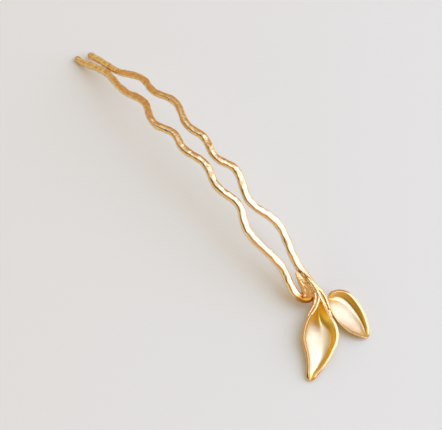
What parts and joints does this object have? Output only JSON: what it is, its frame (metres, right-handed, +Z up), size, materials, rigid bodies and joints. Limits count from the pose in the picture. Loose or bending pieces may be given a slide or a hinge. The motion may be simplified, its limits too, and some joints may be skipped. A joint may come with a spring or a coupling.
{
  "type": "hair pin",
  "caption": "Arched hair pin of wavy hammered wire with two prongs and a cast sprig of cupped leaves, gold plated.",
  "frame": {"origin": "middle of the pin's length and width, on the surface that it lies on", "axes": "+X from the prong tips to the leaves, +Y across the prongs to the side of the twig, +Z up from the surface"},
  "size_m": [0.0692, 0.015, 0.0113],
  "materials": {
    "gold": "gold plated, hammered and polished, satin inside the leaves"
  },
  "bodies": {
    "root": {"leaf_hair_pin": "gold"}
  },
  "joints": []
}
